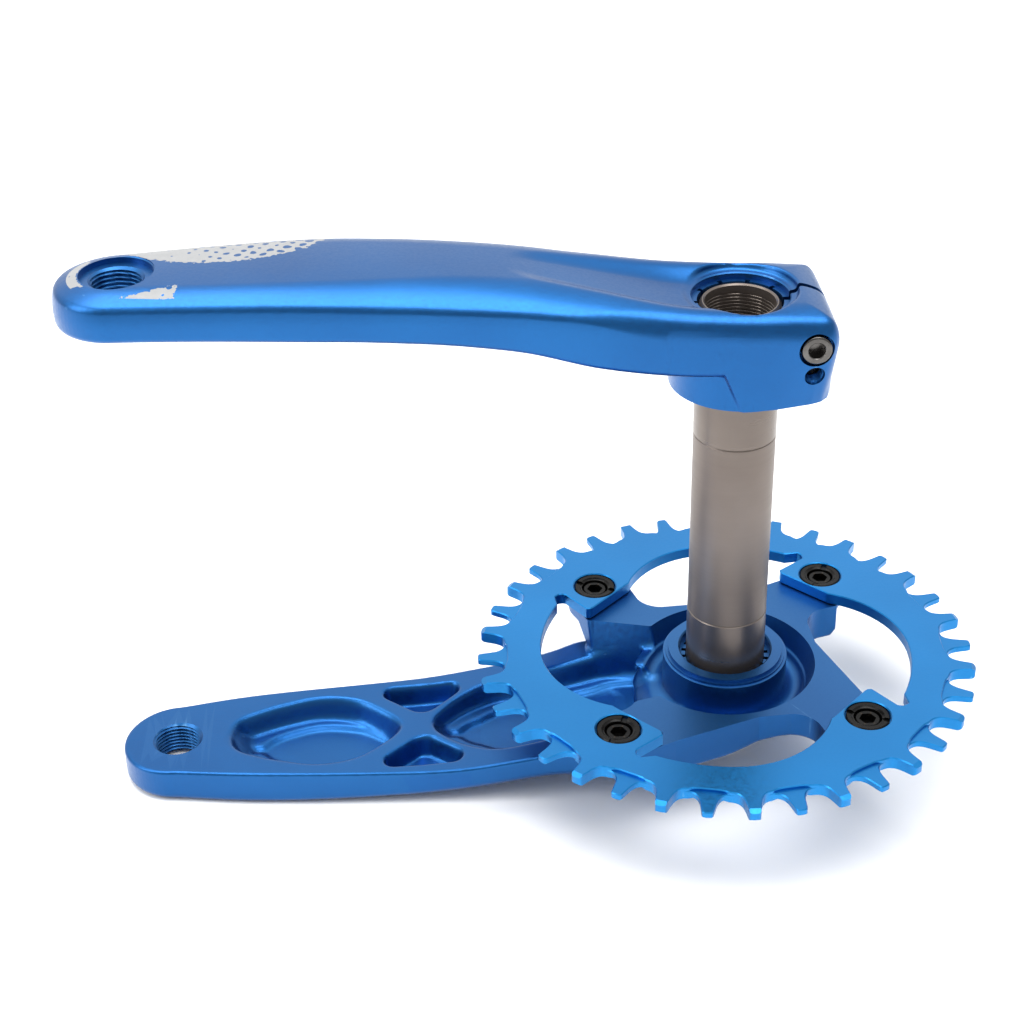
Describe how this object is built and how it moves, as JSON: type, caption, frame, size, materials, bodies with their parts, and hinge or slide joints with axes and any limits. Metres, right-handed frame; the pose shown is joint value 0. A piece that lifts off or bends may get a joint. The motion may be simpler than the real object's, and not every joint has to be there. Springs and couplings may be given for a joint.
{
  "type": "bicycle crankset",
  "caption": "Bicycle crankset: forged crank arms on a hollow through spindle, with a narrow-wide chainring bolted to the drive arm's spider.",
  "frame": {"origin": "middle of the bottom bracket, on the spindle's axis, half way between the hub faces", "axes": "+Z along the spindle towards the left crank arm; both arms lie along -X; +Y across the arms"},
  "size_m": [0.264, 0.1524, 0.1717],
  "materials": {
    "anodised_blue": "satin blue anodised forging",
    "chainring_blue": "fine blasted blue anodised plate",
    "ground_steel": "ground tube, polished where the bearings run",
    "black_fastener": "black anodised, satin",
    "plated_steel": "bright plated steel"
  },
  "bodies": {
    "drive_side": {"drive_crank_arm": "anodised_blue", "spindle": "ground_steel", "chainring": "chainring_blue", "chainring_nut_1": "black_fastener", "chainring_nut_2": "black_fastener", "chainring_nut_3": "black_fastener", "chainring_nut_4": "black_fastener", "chainring_bolt_1": "black_fastener", "chainring_bolt_2": "black_fastener", "chainring_bolt_3": "black_fastener", "chainring_bolt_4": "black_fastener"},
    "left_arm": {"left_crank_arm": "anodised_blue"},
    "pinch_bolt_1": {"pinch_bolt_1": "plated_steel"},
    "pinch_bolt_2": {"pinch_bolt_2": "plated_steel"}
  },
  "joints": [
    {"name": "left_arm_slide", "type": "slide", "parent": "drive_side", "child": "left_arm", "axis": [0, 0, 1], "range_m": [0, 0.03]},
    {"name": "pinch_bolt_1_turn", "type": "hinge", "parent": "left_arm", "child": "pinch_bolt_1", "pos_m": [0.0182, -0.0149, 0.065], "axis": [0, -1, 0], "range_deg": [0, 720]},
    {"name": "pinch_bolt_2_turn", "type": "hinge", "parent": "left_arm", "child": "pinch_bolt_2", "pos_m": [0.0182, 0.0128, 0.0567], "axis": [0, 1, 0], "range_deg": [0, 720]}
  ]
}
